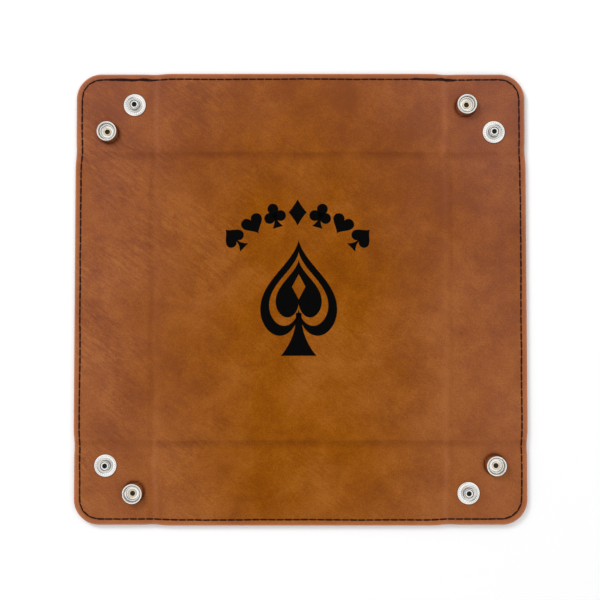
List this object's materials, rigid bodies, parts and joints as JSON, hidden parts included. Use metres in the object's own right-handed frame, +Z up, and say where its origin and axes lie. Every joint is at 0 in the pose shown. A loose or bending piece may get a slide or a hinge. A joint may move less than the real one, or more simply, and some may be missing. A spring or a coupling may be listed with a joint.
{
  "type": "snap-up dice tray",
  "caption": "Flat square leatherette tray with stitched edges whose walls fold up and whose creased corners snap together with press studs.",
  "frame": {"origin": "under the middle of the floor panel, on the surface the tray lies on", "axes": "+Z up out of the tray's inner face; +X towards the right wall and -Y towards the front wall"},
  "size_m": [0.2286, 0.2286, 0.0063],
  "materials": {
    "leather_face": "tan leatherette, fine grain, satin",
    "leather_back": "tan leatherette back, fine grain, matte",
    "board": "hidden stiffener board",
    "thread": "dark waxed sewing thread",
    "snap_nickel": "bright nickel plate"
  },
  "bodies": {
    "floor": {"floor_face": "leather_face", "floor_back": "leather_back", "floor_board": "board"},
    "right_wall": {"right_wall_face": "leather_face", "right_wall_back": "leather_back", "right_wall_board": "board", "right_wall_stitching": "thread"},
    "front_right_socket_flap": {"front_right_socket_flap_face": "leather_face", "front_right_socket_flap_back": "leather_back", "front_right_socket_flap_stitching": "thread", "front_right_socket": "snap_nickel", "front_right_socket_cap": "snap_nickel"},
    "front_right_stud_flap": {"front_right_stud_flap_face": "leather_face", "front_right_stud_flap_back": "leather_back", "front_right_stud_flap_stitching": "thread", "front_right_stud": "snap_nickel", "front_right_stud_post": "snap_nickel"},
    "front_wall": {"front_wall_face": "leather_face", "front_wall_back": "leather_back", "front_wall_board": "board", "front_wall_stitching": "thread"},
    "front_left_socket_flap": {"front_left_socket_flap_face": "leather_face", "front_left_socket_flap_back": "leather_back", "front_left_socket_flap_stitching": "thread", "front_left_socket": "snap_nickel", "front_left_socket_cap": "snap_nickel"},
    "front_left_stud_flap": {"front_left_stud_flap_face": "leather_face", "front_left_stud_flap_back": "leather_back", "front_left_stud_flap_stitching": "thread", "front_left_stud": "snap_nickel", "front_left_stud_post": "snap_nickel"},
    "left_wall": {"left_wall_face": "leather_face", "left_wall_back": "leather_back", "left_wall_board": "board", "left_wall_stitching": "thread"},
    "back_left_socket_flap": {"back_left_socket_flap_face": "leather_face", "back_left_socket_flap_back": "leather_back", "back_left_socket_flap_stitching": "thread", "back_left_socket": "snap_nickel", "back_left_socket_cap": "snap_nickel"},
    "back_left_stud_flap": {"back_left_stud_flap_face": "leather_face", "back_left_stud_flap_back": "leather_back", "back_left_stud_flap_stitching": "thread", "back_left_stud": "snap_nickel", "back_left_stud_post": "snap_nickel"},
    "back_wall": {"back_wall_face": "leather_face", "back_wall_back": "leather_back", "back_wall_board": "board", "back_wall_stitching": "thread"},
    "back_right_socket_flap": {"back_right_socket_flap_face": "leather_face", "back_right_socket_flap_back": "leather_back", "back_right_socket_flap_stitching": "thread", "back_right_socket": "snap_nickel", "back_right_socket_cap": "snap_nickel"},
    "back_right_stud_flap": {"back_right_stud_flap_face": "leather_face", "back_right_stud_flap_back": "leather_back", "back_right_stud_flap_stitching": "thread", "back_right_stud": "snap_nickel", "back_right_stud_post": "snap_nickel"}
  },
  "joints": [
    {"name": "right_wall_fold", "type": "hinge", "parent": "floor", "child": "right_wall", "pos_m": [0.073, 0, 0.0035], "axis": [0, -1, 0], "range_deg": [0, 90]},
    {"name": "front_right_socket_flap_fold", "type": "hinge", "parent": "right_wall", "child": "front_right_socket_flap", "pos_m": [0.0935, -0.06981, 0.00075], "axis": [1, 0, 0], "range_deg": [0, 45]},
    {"name": "front_right_corner_fold", "type": "hinge", "parent": "front_right_socket_flap", "child": "front_right_stud_flap", "pos_m": [0.0935, -0.0935, 0.00495], "axis": [-0.7071, 0.7071, 0], "range_deg": [0, 180]},
    {"name": "front_wall_fold", "type": "hinge", "parent": "floor", "child": "front_wall", "pos_m": [0, -0.073, 0.0035], "axis": [-1, 0, 0], "range_deg": [0, 90]},
    {"name": "front_left_socket_flap_fold", "type": "hinge", "parent": "front_wall", "child": "front_left_socket_flap", "pos_m": [-0.06981, -0.0935, 0.00075], "axis": [0, -1, 0], "range_deg": [0, 45]},
    {"name": "front_left_corner_fold", "type": "hinge", "parent": "front_left_socket_flap", "child": "front_left_stud_flap", "pos_m": [-0.0935, -0.0935, 0.00495], "axis": [0.7071, 0.7071, 0], "range_deg": [0, 180]},
    {"name": "left_wall_fold", "type": "hinge", "parent": "floor", "child": "left_wall", "pos_m": [-0.073, 0, 0.0035], "axis": [0, 1, 0], "range_deg": [0, 90]},
    {"name": "back_left_socket_flap_fold", "type": "hinge", "parent": "left_wall", "child": "back_left_socket_flap", "pos_m": [-0.0935, 0.06981, 0.00075], "axis": [-1, 0, 0], "range_deg": [0, 45]},
    {"name": "back_left_corner_fold", "type": "hinge", "parent": "back_left_socket_flap", "child": "back_left_stud_flap", "pos_m": [-0.0935, 0.0935, 0.00495], "axis": [0.7071, -0.7071, 0], "range_deg": [0, 180]},
    {"name": "back_wall_fold", "type": "hinge", "parent": "floor", "child": "back_wall", "pos_m": [0, 0.073, 0.0035], "axis": [1, 0, 0], "range_deg": [0, 90]},
    {"name": "back_right_socket_flap_fold", "type": "hinge", "parent": "back_wall", "child": "back_right_socket_flap", "pos_m": [0.06981, 0.0935, 0.00075], "axis": [0, 1, 0], "range_deg": [0, 45]},
    {"name": "back_right_corner_fold", "type": "hinge", "parent": "back_right_socket_flap", "child": "back_right_stud_flap", "pos_m": [0.0935, 0.0935, 0.00495], "axis": [-0.7071, -0.7071, 0], "range_deg": [0, 180]}
  ],
  "couplings": [
    {"joint": "front_right_socket_flap_fold", "follows": "right_wall_fold", "ratio": 0.5},
    {"joint": "front_right_corner_fold", "follows": "right_wall_fold", "ratio": 2},
    {"joint": "front_wall_fold", "follows": "right_wall_fold", "ratio": 1},
    {"joint": "front_left_socket_flap_fold", "follows": "right_wall_fold", "ratio": 0.5},
    {"joint": "front_left_corner_fold", "follows": "right_wall_fold", "ratio": 2},
    {"joint": "left_wall_fold", "follows": "right_wall_fold", "ratio": 1},
    {"joint": "back_left_socket_flap_fold", "follows": "right_wall_fold", "ratio": 0.5},
    {"joint": "back_left_corner_fold", "follows": "right_wall_fold", "ratio": 2},
    {"joint": "back_wall_fold", "follows": "right_wall_fold", "ratio": 1},
    {"joint": "back_right_socket_flap_fold", "follows": "right_wall_fold", "ratio": 0.5},
    {"joint": "back_right_corner_fold", "follows": "right_wall_fold", "ratio": 2}
  ]
}
